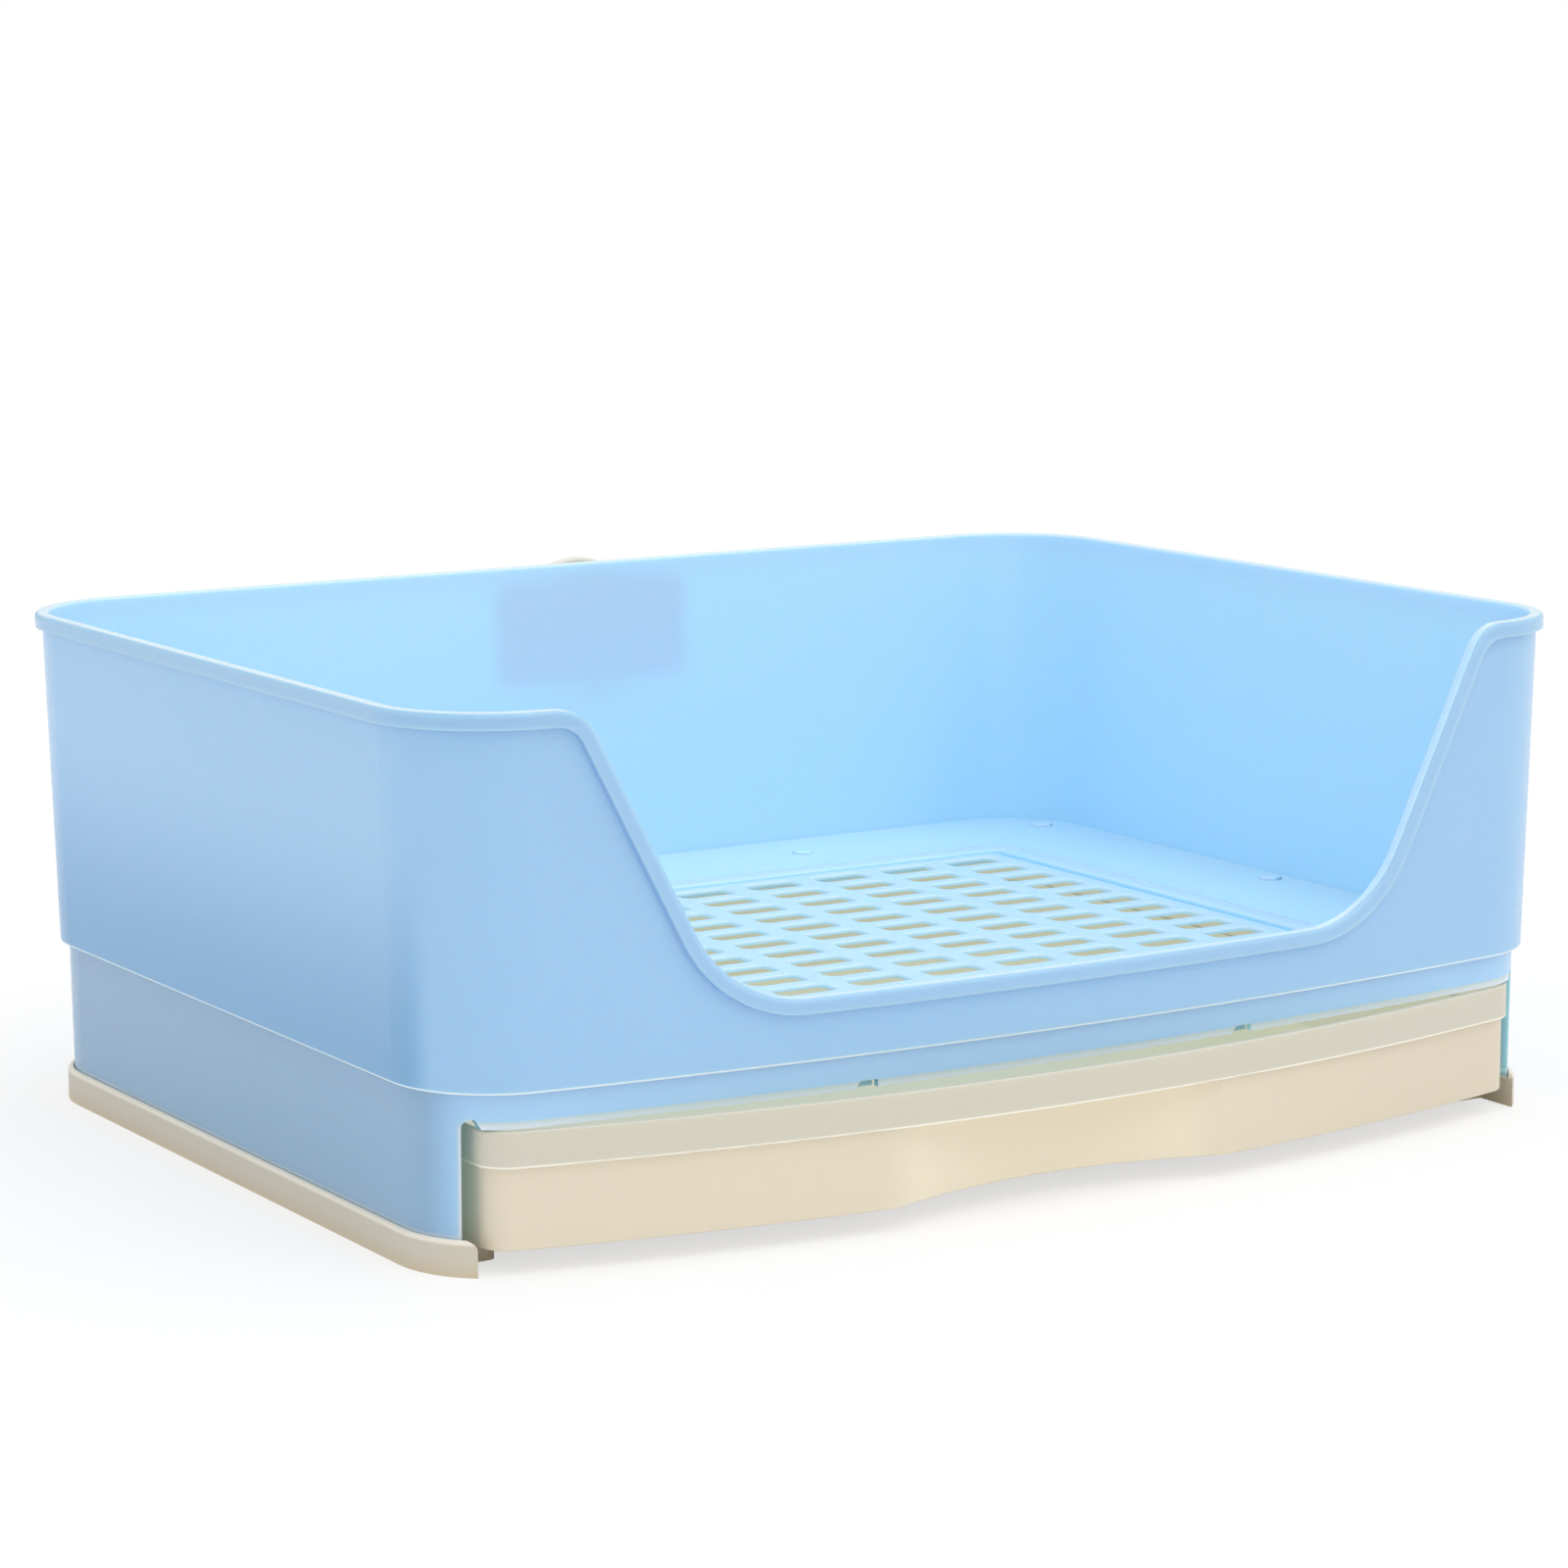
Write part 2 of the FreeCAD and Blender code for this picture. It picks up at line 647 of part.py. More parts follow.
def make_surround():
    body = new_body("surround")
    deck = S.housingtop
    rise = S.rimtop - deck + SPARE
    over = S.rimtop + SPARE + SPARE
    pad(body, "band_block", shell_drawing(body, "band_outline", S.rimproud, deck), rise, S.walldraft)
    under = Drawing(body, "under_rim_line", "XZ_Plane")
    under.rim_line(S.rimband, NOTHING)
    pocket(body, "under_rim_front", under, FAR, flip=True)
    under_rear = Drawing(body, "under_rim_rear_line", "XZ_Plane")
    level_box(under_rear, NOTHING, S.rimtop - S.rimband)
    pocket(body, "under_rim_rear", under_rear, FAR)
    pad(body, "wall_block", shell_drawing(body, "wall_outline", NOTHING, deck), rise, S.walldraft)
    fillet(body, "foot_edge", S.footround, lambda edge: level_edge(edge, deck.value))
    pocket(body, "tub_hollow", shell_drawing(body, "tub_outline", -S.wall, deck + S.border),
           rise, S.walldraft, flip=True)
    rim = Drawing(body, "rim_line", "XZ_Plane")
    rim.rim_line(NOTHING, over)
    pocket(body, "entrance", rim, FAR, flip=True)
    rim_rear = Drawing(body, "rim_rear_line", "XZ_Plane")
    level_box(rim_rear, S.rimtop, over)
    pocket(body, "rim_rear", rim_rear, FAR)

    # The rolled edge: the rim's own faces look up, and their outer and inner edges are rounded in turn
    middle = shell_plan(S.rimproud / 2 - S.wall / 2)
    for side, radius in (("outer", S.rimround), ("inner", S.riminner)):
        edges = [edge for face in body.Tip.Shape.Faces if rim_face(face) for edge in face.Edges]
        uses = collections.Counter(edge.hashCode() for edge in edges)

        def rim_side(edge):
            """True for an edge that the rim shares with the wall face on this side."""
            point = edge.valueAt((edge.FirstParameter + edge.LastParameter) / 2)
            outside = outside_of(middle, point, deck.value) > 0
            return uses[edge.hashCode()] == 1 and outside == (side == "outer")

        fillet(body, f"rim_{side}_round", radius, rim_side)

    spigot = -S.housinginset - S.housingwall - S.spigotgap
    spigot_foot = deck - S.spigotdepth
    pad(body, "spigot_block", shell_drawing(body, "spigot_outline", spigot, spigot_foot), S.spigotdepth)
    inside = shell_drawing(body, "spigot_inside", spigot - S.spigotwall, spigot_foot)
    pocket(body, "spigot_hollow", inside, S.spigotdepth, flip=True)

    # Seat for the floor grid: a shallow well with a ledge all round, hung below the border
    centre = (NOTHING, NOTHING)
    well_foot = deck + S.border - S.seatdepth - S.seatwall
    well = Drawing(body, "well_outline", "XY_Plane", well_foot)
    well.rounded_rectangle(centre, S.seathalfx + S.seatwall, S.seathalfy + S.seatwall,
                           S.seatcorner + S.seatwall)
    pad(body, "well_block", well, deck - well_foot)
    seat = Drawing(body, "seat_outline", "XY_Plane", well_foot + S.seatwall)
    seat.rounded_rectangle(centre, S.seathalfx, S.seathalfy, S.seatcorner)
    pocket(body, "seat", seat, S.seatdepth, flip=True)
    window = Drawing(body, "window_outline", "XY_Plane", well_foot)
    window.rounded_rectangle(centre, S.seathalfx - S.seatledge, S.seathalfy - S.seatledge,
                             S.seatcorner - S.seatledge / 2)
    pocket(body, "window", window, S.seatwall, flip=True)

    # Tongues behind the housing's notches
    front = S.frontreach + spigot - (S.notchplace * S.notchplace) / (S.bowradius + spigot) / 2
    for side, name in ((-1, "left"), (1, "right")):
        tongue = Drawing(body, f"{name}_tongue_outline", "XY_Plane", deck - S.tonguereach)
        one = S.notchplace * side - S.tonguewidth / 2
        other = S.notchplace * side + S.tonguewidth / 2
        tongue.polygon([(one, -front), (other, -front), (other, -(front - S.spigotwall)),
                        (one, -(front - S.spigotwall))])
        pad(body, f"{name}_tongue", tongue, S.tonguereach - S.spigotdepth / 2)

    # Nubs: the tops of the pegs that stand up through the border
    nubs = Drawing(body, "nub_outline", "XY_Plane", deck)
    for side in (-1, 1):
        for x, y in ((S.nubsidex, -S.nubsidey), (S.nubcornerx, S.nubreary), (S.nubrearx, S.nubreary)):
            ring = nubs.circle((x.value * side, y.value), S.nubround.value)
            nubs.bind("Radius", (ring,), S.nubround)
            nubs.place_x(ring, 3, x * side)
            nubs.place_y(ring, 3, y)
    pad(body, "nubs", nubs, S.border + S.nubrise)
    nub_top = (deck + S.border + S.nubrise).value
    fillet(body, "nub_round", S.nubedge, lambda edge: level_edge(edge, nub_top))

    fixing = Drawing(body, "pad_outline", "XZ_Plane", -(S.padface - S.padsink))
    fixing.rounded_rectangle(FIXING, S.padlong / 2, S.padhigh / 2, S.platecorner)
    pad(body, "fixing_pad", fixing, S.padsink, flip=True)
    return body


# Floor grid: a blue plate that drops into the surround's seat. A raised ring runs round it, a groove
# lies inside the ring, and ten by ten rounded slots between thin bars let litter and droppings through.

def make_grid_plate(foot):
    body = new_body("grid_plate")
    centre = (NOTHING, NOTHING)
    half_x = S.seathalfx - S.gridgap
    half_y = S.seathalfy - S.gridgap
    corner = S.seatcorner - S.gridgap
    thick = S.seatdepth + S.gridringrise
    plate = Drawing(body, "plate_outline", "XY_Plane", foot)
    plate.rounded_rectangle(centre, half_x, half_y, corner)
    pad(body, "plate", plate, thick)
    groove = Drawing(body, "groove_outline", "XY_Plane", foot + S.gridgroovefloor)
    groove.rounded_rectangle(centre, half_x - S.gridring, half_y - S.gridring, corner - S.gridring / 2)
    pocket(body, "groove", groove, thick, flip=True)
    field = Drawing(body, "field_outline", "XY_Plane", foot)
    inward = S.gridring + S.gridgroove
    field.rounded_rectangle(centre, half_x - inward, half_y - inward, corner - S.gridring / 2)
    pad(body, "field", field, S.seatdepth)

    # The bars are thinner than the plate's edges, so the slots show what lies below them
    relief = Drawing(body, "relief_outline", "XY_Plane", foot)
    relief.rounded_rectangle(centre, S.slotpitchx * S.slotcount / 2, S.slotpitchy * S.slotcount / 2,
                             S.slotcorner)
    pocket(body, "relief", relief, S.seatdepth - S.barthick, flip=True)
    ring_top = (foot + thick).value
    fillet(body, "ring_round", S.ringround, lambda edge: level_edge(edge, ring_top))
    return body


def make_slot_core(foot):
    """The space of one slot, flared at the top as the rounded bars leave it."""
    body = new_body("slot_core")
    centre = (NOTHING, NOTHING)
    top = S.seatdepth + S.barlift
    core = Drawing(body, "core_outline", "XY_Plane", foot - S.seatdepth)
    core.rounded_rectangle(centre, S.slotlong / 2, S.slotwide / 2, S.slotcorner)
    pad(body, "core", core, S.seatdepth + top)
    brim = Drawing(body, "brim_outline", "XY_Plane", foot + top)
    wide = S.barround + S.brimspare
    brim.rounded_rectangle(centre, S.slotlong / 2 + wide, S.slotwide / 2 + wide, S.slotcorner + wide)
    pad(body, "brim", brim, S.barround)
    brim_under = (foot + top).value
    reach_x = (S.slotlong / 2 + S.brimspare).value
    reach_y = (S.slotwide / 2 + S.brimspare).value

    def core_edge(edge):
        """True for an edge where the core meets the brim's underside."""
        box = edge.BoundBox
        inside = max(-box.XMin, box.XMax) < reach_x and max(-box.YMin, box.YMax) < reach_y
        return inside and level_edge(edge, brim_under)

    fillet(body, "bar_round", S.barround, core_edge)
    return body


def make_floor_grid():
    foot = S.housingtop + S.border - S.seatdepth
    plate = make_grid_plate(foot)
    core = make_slot_core(foot)
    count = int(S.slotcount.value)
    middle = (count - 1) / 2
    places = [Vector(S.slotpitchx.value * (column - middle), S.slotpitchy.value * (row - middle), 0)
              for column in range(count) for row in range(count)]
    cores = doc.addObject("Part::Feature", "slot_cores")
    cores.Shape = Part.makeCompound([core.Shape.translated(place) for place in places])
    grid = doc.addObject("Part::Cut", "floor_grid")
    grid.Label = "floor_grid"
    grid.Base = plate
    grid.Tool = cores
    grid.Refine = False
    doc.recompute()
    return grid


# Drawer: the cream litter pan. Its front bows out past the housing, a proud lip runs round its top, and a
# tall finger scoop is pressed into the front below the lip.

def on_outline(edge, plan):
    """True for an edge that runs along a bowed outline."""
    if edge.Curve.TypeId == "Part::GeomCircle":
        return any(near(edge.Curve.Radius, radius.value) for radius in (plan.bow, plan.near, plan.back))
    middle = edge.valueAt((edge.FirstParameter + edge.LastParameter) / 2)
    return near(abs(middle.x), plan.half.value) or near(middle.y, plan.rear.value)


def circle_meeting(centre, radius, other, other_radius):
    """The two points where a pair of circles cross."""
    span = other - centre
    along = (radius ** 2 - other_radius ** 2 + span.Length ** 2) / (2 * span.Length)
    aside = math.sqrt(radius ** 2 - along ** 2)
    unit = Vector(span.x / span.Length, span.y / span.Length, 0)
    foot = centre + unit * along
    across = Vector(-unit.y, unit.x, 0) * aside
    return foot + across, foot - across


def angle_of(point, centre):
    return math.degrees(math.atan2(point.y - centre.y, point.x - centre.x)) % 360


def make_drawer():
    body = new_body("drawer")
    foot = S.decktop + S.drawergap
    pad(body, "pan_block", drawer_drawing(body, "pan_outline", S.lipproud, foot), S.drawertop - foot)
    pad(body, "lip_block", drawer_drawing(body, "lip_outline", NOTHING, S.liplow), S.drawertop - S.liplow)
    fillet(body, "lip_low_round", S.lipround,
           lambda edge: level_edge(edge, S.liplow.value) and on_outline(edge, drawer_plan(NOTHING)))
    floor = foot + S.drawerwall
    pocket(body, "pan_hollow", drawer_drawing(body, "hollow_outline", S.lipproud + S.drawerwall, floor),
           S.drawertop, flip=True)
    shelf = S.liplow + S.drawerwall
    lip_inside = drawer_drawing(body, "lip_inside", S.drawerwall, shelf)
    pocket(body, "lip_hollow", lip_inside, S.drawertop, flip=True)

    # The scoop is an upright cylinder cut from the front, with a wall of its own behind it
    scoop_y = -(S.drawerfront - S.lipproud - S.scoopdepth + S.scoopradius)
    outer = S.scoopradius + S.drawerwall
    skin = S.lipproud + S.drawerwall / 2
    bow = S.drawerbow - skin
    bow_centre = Vector(0, (S.drawerbow - S.drawerfront).value, 0)
    scoop_centre = Vector(-S.scoopplace.value, scoop_y.value, 0)
    one, other = circle_meeting(bow_centre, bow.value, scoop_centre, outer.value)
    left, right = sorted((one, other), key=lambda point: point.x)
    backing = Drawing(body, "scoop_wall_outline", "XY_Plane", foot)
    front = backing.arc(bow_centre, bow.value, angle_of(left, bow_centre), angle_of(right, bow_centre))
    behind = backing.arc(scoop_centre, outer.value, angle_of(right, scoop_centre),
                         angle_of(left, scoop_centre))
    backing.tie("Coincident", front, 2, behind, 1)
    backing.tie("Coincident", behind, 2, front, 1)
    backing.tie("PointOnObject", front, 3, -2)
    backing.place_y(front, 3, S.drawerbow - S.drawerfront)
    backing.bind("Radius", (front,), bow)
    backing.place_x(behind, 3, -S.scoopplace)
    backing.place_y(behind, 3, scoop_y)
    backing.bind("Radius", (behind,), outer)
    pad(body, "scoop_wall", backing, shelf - foot)
    scoop = Drawing(body, "scoop_outline", "XY_Plane", S.liplow)
    round_cut = scoop.circle(scoop_centre, S.scoopradius.value)
    scoop.place_x(round_cut, 3, -S.scoopplace)
    scoop.place_y(round_cut, 3, scoop_y)
    scoop.bind("Radius", (round_cut,), S.scoopradius)
    pocket(body, "scoop", scoop, S.liplow)

    def scoop_kink(edge):
        box = edge.BoundBox
        outside = box.YMax < -(S.drawerfront - S.lipproud - S.scoopdepth).value
        return upright_edge(edge) and outside and abs(box.XMin) < S.scoopradius.value / 2

    fillet(body, "scoop_kink_round", S.scoopround, scoop_kink)
    fillet(body, "foot_edge", S.footedge, lambda edge: level_edge(edge, foot.value))
    fillet(body, "lip_top_round", S.lipround, lambda edge: level_edge(edge, S.drawertop.value))
    return body


# Cage fixing, in cream plastic: a plate with a stud on the rear pad, a smooth disc that presses cage wires
# against it, and a wing nut that tightens the disc.

def fixing_circle(body, label, face, radii):
    """Concentric circles round the stud's axis, at a distance behind the tray."""
    drawing = Drawing(body, label, "XZ_Plane", -face)
    for radius in radii:
        ring = drawing.circle((FIXING[0].value, FIXING[1].value), radius.value)
        drawing.bind("Radius", (ring,), radius)
        drawing.place_x(ring, 3, FIXING[0])
        drawing.place_y(ring, 3, FIXING[1])
    return drawing


def make_stud_plate():
    body = new_body("stud_plate")
    plate = Drawing(body, "plate_outline", "XZ_Plane", -S.padface)
    plate.rounded_rectangle(FIXING, S.padlong / 2, S.padhigh / 2, S.platecorner)
    pad(body, "plate", plate, S.platethick, flip=True)
    face = S.padface + S.platethick
    stud = fixing_circle(body, "stud_outline", face, [S.studround])
    pad(body, "stud", stud, S.studlength, flip=True)
    return body


def make_clamp_disc():
    body = new_body("clamp_disc")
    face = S.padface + S.platethick + S.cagegap
    disc = fixing_circle(body, "disc_outline", face, [S.discround, S.studround + S.runningfit])
    pad(body, "disc", disc, S.discthick, flip=True)

    def rim_edge(edge):
        return edge.Curve.TypeId == "Part::GeomCircle" and near(edge.Curve.Radius, S.discround.value)

    fillet(body, "disc_edge", S.discedge, rim_edge)
    return body


def make_wing_nut():
    body = new_body("wing_nut")
    face = S.padface + S.platethick + S.cagegap + S.discthick
    bore = S.studround + S.runningfit
    hub = fixing_circle(body, "hub_outline", face, [S.nutround])
    pad(body, "hub", hub, S.nutlength, flip=True)
    for side, name in ((-1, "left"), (1, "right")):
        wing = Drawing(body, f"{name}_wing_outline", "XY_Plane", FIXING[1] - S.wingthick / 2)
        root = S.fixingplace + S.studround * side
        tip = S.fixingplace + S.wingspan * side
        wing.polygon([(root, face + S.wingrootstart), (tip, face + S.wingtipstart),
                      (tip, face + S.wingtipend), (root, face + S.wingrootend)])
        pad(body, f"{name}_wing", wing, S.wingthick)
    drill = fixing_circle(body, "bore_outline", face, [bore])
    pocket(body, "bore", drill, S.nutlength)

    def wing_tip(edge):
        box = edge.BoundBox
        out = abs((box.XMin + box.XMax) / 2 - S.fixingplace.value)
        return upright_edge(edge) and near(out, S.wingspan.value)

    fillet(body, "wing_tip_round", S.wingthick, wing_tip)
    return body


# Every piece stands at the same shift, so that the origin lies under the middle of the whole

def build():
    pieces = [make_base_tray(), make_housing(), make_surround(), make_floor_grid(), make_drawer(),
              make_stud_plate(), make_clamp_disc(), make_wing_nut()]
    stud_end = S.padface + S.platethick + S.studlength
    shift = (S.drawerfront - stud_end) / 2
    for body in pieces:
        body.Placement = Placement(Vector(0, shift.value, 0), Rotation())
        body.setExpression("Placement.Base.y", shift.text)
    doc.recompute()
    return pieces


pieces = build()
for item in doc.Objects:
    if "Invalid" in item.State or "Error" in item.State:
        raise RuntimeError(f"{item.Label} did not build: {item.State}")
for body in pieces:
    if body.Shape.isNull() or not body.Shape.isValid() or len(body.Shape.Solids) != 1:
        raise RuntimeError(f"{body.Label} is not one valid solid")
os.makedirs("parts", exist_ok=True)
for body in pieces:
    body.Shape.exportStep(f"parts/{body.Label}.step")
    box = body.Shape.optimalBoundingBox()
    print(body.Label, round(body.Shape.Volume / 1000, 1), "cm3", box)
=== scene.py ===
import math
import bmesh
import bpy
from mathutils import Matrix, Vector


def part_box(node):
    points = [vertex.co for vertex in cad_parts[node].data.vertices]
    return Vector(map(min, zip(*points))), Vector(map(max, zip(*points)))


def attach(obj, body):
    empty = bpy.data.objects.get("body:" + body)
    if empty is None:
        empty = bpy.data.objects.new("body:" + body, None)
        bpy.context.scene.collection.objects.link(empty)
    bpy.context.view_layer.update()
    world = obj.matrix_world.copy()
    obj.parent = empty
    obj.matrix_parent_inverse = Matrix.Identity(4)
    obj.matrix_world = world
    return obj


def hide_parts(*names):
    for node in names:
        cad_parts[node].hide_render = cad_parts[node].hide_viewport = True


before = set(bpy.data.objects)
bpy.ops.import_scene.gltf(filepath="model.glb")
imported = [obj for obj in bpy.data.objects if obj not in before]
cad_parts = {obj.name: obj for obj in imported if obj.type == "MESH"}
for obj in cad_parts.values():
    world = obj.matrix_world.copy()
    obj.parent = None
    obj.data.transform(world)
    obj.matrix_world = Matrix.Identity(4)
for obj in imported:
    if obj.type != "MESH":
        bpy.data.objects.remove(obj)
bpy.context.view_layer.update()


# Base tray: the cream foot of the whole, injection moulded in polypropylene with a satin skin. Its skirt
# wraps the housing's foot on three sides, and its deck carries the drawer. It lies loose on the floor.

# Colours are as a screen shows them, lengths are in metres, clouds and grain are counts to the metre, and
# a pair of numbers is where a mask starts and where it is full.

FOOT_CREAM = (210, 204, 190)
FOOT_WARM = (208, 192, 160)
CREAM_LIT = (250, 244, 230)
BLACK = (0.0, 0.0, 0.0, 1.0)
SKIRT_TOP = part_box("base_tray")[1].z
SKIRT_EDGE_HIGHLIGHT = (SKIRT_TOP - 0.0016, SKIRT_TOP - 0.0006)
SKIRT_LIT = 0.7
LOW_WARM_ZONE = (0.006, 0.0)
LOW_WARM_SHARE = 0.6
CREAM_MOTTLE = 0.35
CREAM_SCUFFS = 0.3
FOOT_CLOUDS = 9.0
FOOT_GRAIN = 900.0
MOTTLE_DETAIL = 3.0
SATIN_ROUGH = 0.36
SATIN_SKIN = 0.00004
SATIN_WEAR = 0.15
SATIN_RUB = -0.6
ROUGH_DRIFT = 0.08
PLASTIC_IOR = 1.49
UPWARD = (0.5, 0.9)
INWARD = (0.0, -0.02)
RUB_CLOUDS = 160.0
RUB_DETAIL = 4.0
RUB_WARP = 0.5
RUB_STRETCH = (1.0, 1.0, 0.5)
RUB_KEPT = (0.52, 0.7)
PATCH_CLOUDS = 11.0
PATCH_FADE = 0.1
MIX_SHARE, MIX_FIRST, MIX_SECOND, MIX_COLOUR = 0, 6, 7, 2


class Shade:
    """A socket of a material's nodes. Sums written on it add the Math nodes that work them out."""

    def __init__(self, tree, socket=None):
        self.tree = tree
        self.socket = socket

    def add(self, kind, settings, sockets, output=0):
        """Adds a node, first its settings, then the values or links of its sockets, and gives an output."""
        node = self.tree.nodes.new(kind)
        for name, value in settings.items():
            setattr(node, name, value)
        for name, value in sockets.items():
            if isinstance(value, Shade):
                self.tree.links.new(value.socket, node.inputs[name])
            else:
                node.inputs[name].default_value = value
        return Shade(self.tree, node.outputs[output] if node.outputs else None)

    def sum(self, operation, *values):
        return self.add("ShaderNodeMath", {"operation": operation}, dict(enumerate(values)))

    def __add__(self, other):
        return self.sum("ADD", self, other)

    def __sub__(self, other):
        return self.sum("SUBTRACT", self, other)

    def __rsub__(self, other):
        return self.sum("SUBTRACT", other, self)

    def __mul__(self, other):
        return self.sum("MULTIPLY", self, other)

    def __abs__(self):
        return self.sum("ABSOLUTE", self)

    __radd__ = __add__
    __rmul__ = __mul__

    def most(self, other):
        """The greater of two masks."""
        return self.sum("MAXIMUM", self, other)

    def part(self, index):
        """One coordinate of a vector, counted from 0."""
        return self.add("ShaderNodeSeparateXYZ", {}, {"Vector": self}, index)

    def ramp(self, low, high):
        """0 below low, 1 above high and smooth between; the other way round where low is above high."""
        sockets = {"Value": self, "From Min": low, "From Max": high}
        return self.add("ShaderNodeMapRange", {"interpolation_type": "SMOOTHSTEP"}, sockets)

    def strip(self, start, full, end, gone):
        """1 from full to end, and smoothly down to 0 at start and at gone."""
        return self.ramp(start, full) * self.ramp(gone, end)

    def tint(self, first, second):
        """The first colour where this mask is 0, the second where it is 1."""
        sockets = {MIX_SHARE: self, MIX_FIRST: first, MIX_SECOND: second}
        return self.add("ShaderNodeMix", {"data_type": "RGBA"}, sockets, MIX_COLOUR)

    def upward(self):
        """A mask of where this direction points up."""
        return self.part(2).ramp(*UPWARD)

    def outward(self, place):
        """How far this direction points away from the middle of the tray, in plan."""
        flat = self.add("ShaderNodeVectorMath", {"operation": "MULTIPLY"}, {0: self, 1: (1, 1, 0)})
        return self.add("ShaderNodeVectorMath", {"operation": "DOT_PRODUCT"}, {0: flat, 1: place}, "Value")

    def inward(self, place):
        """A mask of where this direction points to the middle of the tray, in plan."""
        return self.outward(place).ramp(*INWARD)

    def noise(self, scale, detail=2.0, distortion=0.0, stretch=(1, 1, 1)):
        """Cloudy noise from 0 to 1 on this place, with so many clouds to the metre."""
        place = self.add("ShaderNodeVectorMath", {"operation": "MULTIPLY"}, {0: self, 1: stretch})
        sockets = {"Vector": place, "Scale": scale, "Detail": detail, "Distortion": distortion}
        return place.add("ShaderNodeTexNoise", {}, sockets)

    def scuffs(self, share):
        """A mask of faint rubbed patches on this place: a fine cloud, kept only where a broad one is high."""
        rub = self.noise(RUB_CLOUDS, RUB_DETAIL, RUB_WARP, RUB_STRETCH).ramp(*RUB_KEPT)
        return rub * self.noise(PATCH_CLOUDS).ramp(1 - share, 1 + PATCH_FADE - share)


def dye(red, green, blue):
    """A colour as it looks on a screen, from 0 to 255, in the shader's linear values."""
    shares = [value / 255 for value in (red, green, blue)]
    linear = [share / 12.92 if share <= 0.04045 else ((share + 0.055) / 1.055) ** 2.4 for share in shares]
    return (*linear, 1.0)


def new_nodes(owner):
    """Starts the nodes of a material or a world from nothing."""
    owner.use_nodes = True
    owner.node_tree.nodes.clear()
    return Shade(owner.node_tree)


def new_plastic(name):
    """An empty material, with the place and the direction of the surface that it will cover."""
    material = bpy.data.materials.new(name)
    start = new_nodes(material)
    place = start.add("ShaderNodeTexCoord", {}, {}, "Object")
    facing = start.add("ShaderNodeNewGeometry", {}, {}, "Normal")
    return material, place, facing


def mould(material, colour, roughness, height, depth, milk=0.0, milk_tone=(1, 1, 1), milk_depth=0.0,
          painted_glow=BLACK):
    """Finishes a plastic: a coloured body with a skin whose height is in shares of a depth in metres.

    Light that spreads under the skin makes it milky, and an emitted colour is a painted glow, standing in for
    light that comes in from behind the wall."""
    start = Shade(material.node_tree)
    bump = start.add("ShaderNodeBump", {}, {"Height": height, "Distance": depth, "Strength": 1.0})
    sockets = {"Base Color": colour, "Roughness": roughness, "Normal": bump, "IOR": PLASTIC_IOR}
    sockets["Subsurface Weight"] = milk
    sockets["Subsurface Scale"] = milk_depth
    sockets["Subsurface Radius"] = milk_tone
    sockets["Emission Color"] = painted_glow
    sockets["Emission Strength"] = 1.0
    shader = start.add("ShaderNodeBsdfPrincipled", {}, sockets)
    start.add("ShaderNodeOutputMaterial", {}, {"Surface": shader})


def dress(node, material):
    """Gives a CAD node its material."""
    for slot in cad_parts[node].material_slots:
        slot.material = material


foot_plastic, place, _ = new_plastic("cream_foot")
height = place.part(2)
mottle = place.noise(FOOT_CLOUDS, MOTTLE_DETAIL)
tone = (mottle * CREAM_MOTTLE).tint(dye(*FOOT_CREAM), dye(*FOOT_WARM))
# Warmer and darker towards the floor, over the lowest few millimetres of the foot.
tone = (height.ramp(*LOW_WARM_ZONE) * LOW_WARM_SHARE).tint(tone, dye(*FOOT_WARM))
# Painted highlight: the skirt's top edge is lightened towards a lit cream.
tone = (height.ramp(*SKIRT_EDGE_HIGHLIGHT) * SKIRT_LIT).tint(tone, dye(*CREAM_LIT))
marks = place.scuffs(CREAM_SCUFFS)
roughness = SATIN_ROUGH + mottle * ROUGH_DRIFT + marks * SATIN_WEAR
mould(foot_plastic, tone, roughness, place.noise(FOOT_GRAIN) + marks * SATIN_RUB, SATIN_SKIN)
dress("base_tray", foot_plastic)


# Housing: the blue lower casing, a drafted ring of glossy, slightly see-through polypropylene with the
# drawer's opening in its front. It stands in the base tray's channel and its top edge carries the tub.

HOUSING_BLUE = (150, 182, 212)
HOUSING_DEEP = (140, 176, 208)
HOUSING_FRONT_LIT = (178, 218, 255)
HOUSING_INSIDE = (156, 190, 208)
HOUSING_PAINTED_GLOW = (0.1, 0.16, 0.165, 1.0)
HOUSING_PAINTED_SHEEN = (0.0, 0.0, 0.06, 1.0)
LINTEL_REFLECTED_CREAM = (204, 216, 204)
BLUE_LIT = (224, 243, 255)
FORWARD = (-0.3, -0.8)
FRONT_LIGHT_SHARE = 0.85
HOUSING_CLOUDS = 7.0
HOUSING_MOTTLE = 0.4
LINTEL = 0.0429
LINTEL_REFLECTION_BAND = (LINTEL + 0.0025, LINTEL + 0.0019)
LINTEL_REFLECTION_SHARE = 0.9
JAMB = 0.194
JAMB_FADE = 0.004
JAMB_HIGHLIGHT = (JAMB + 0.0009, JAMB + 0.0003)
JAMB_TOP = (LINTEL + 0.002, LINTEL)
HOUSING_FOOT_HIGHLIGHT = (0.0096, 0.0106, 0.011, 0.0118)
FOOT_LIT = 0.5
GLOSS_ROUGH = 0.2
GLOSS_SKIN = 0.00002
GLOSS_WEAR = 0.2
GLOSS_RUB = -1.0
BLUE_GRAIN = 500.0
BLUE_SCUFFS = 0.25
BLUE_MILK_TONE = (0.5, 0.9, 1.0)
BLUE_MILK_DEPTH = 0.006
HOUSING_MILK = 0.7

